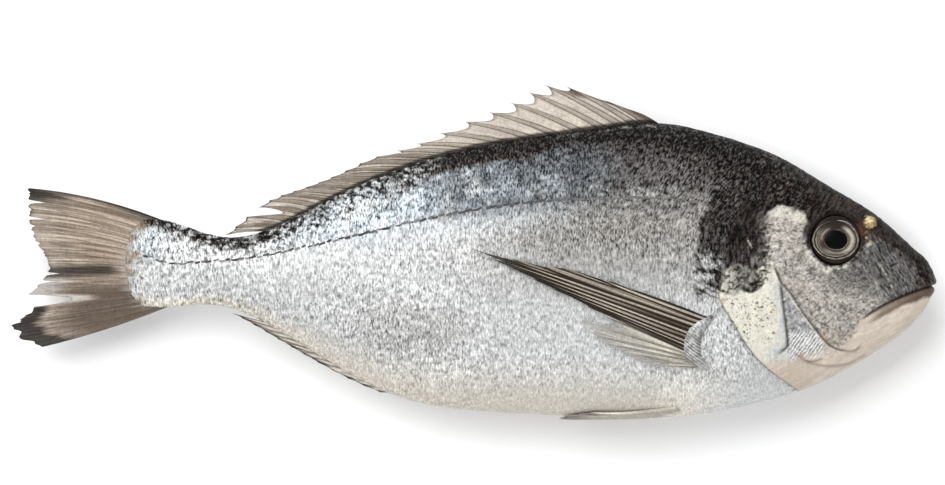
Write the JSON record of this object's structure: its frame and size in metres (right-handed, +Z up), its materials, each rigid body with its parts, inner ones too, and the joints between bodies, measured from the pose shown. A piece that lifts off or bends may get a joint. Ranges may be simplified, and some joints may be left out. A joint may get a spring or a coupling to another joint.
{
  "type": "whole raw gilt-head sea bream",
  "caption": "Whole raw sea bream lying on its left flank, with spread tail, raised spiny back fin, swept side fins and two separate eyeballs.",
  "frame": {"origin": "under the middle of the fish's bounding box, on the surface that it lies on", "axes": "+X along the fish to its nose, +Y to its back, +Z up out of its right flank"},
  "size_m": [0.3, 0.109, 0.041],
  "materials": {
    "skin": "wet silver scales, charcoal along the back, warm white at the belly",
    "eye": "wet and glossy, black pupil in silver and bronze rings"
  },
  "bodies": {
    "root": {"fish": "skin", "eye_right": "eye", "eye_left": "eye"}
  },
  "joints": []
}
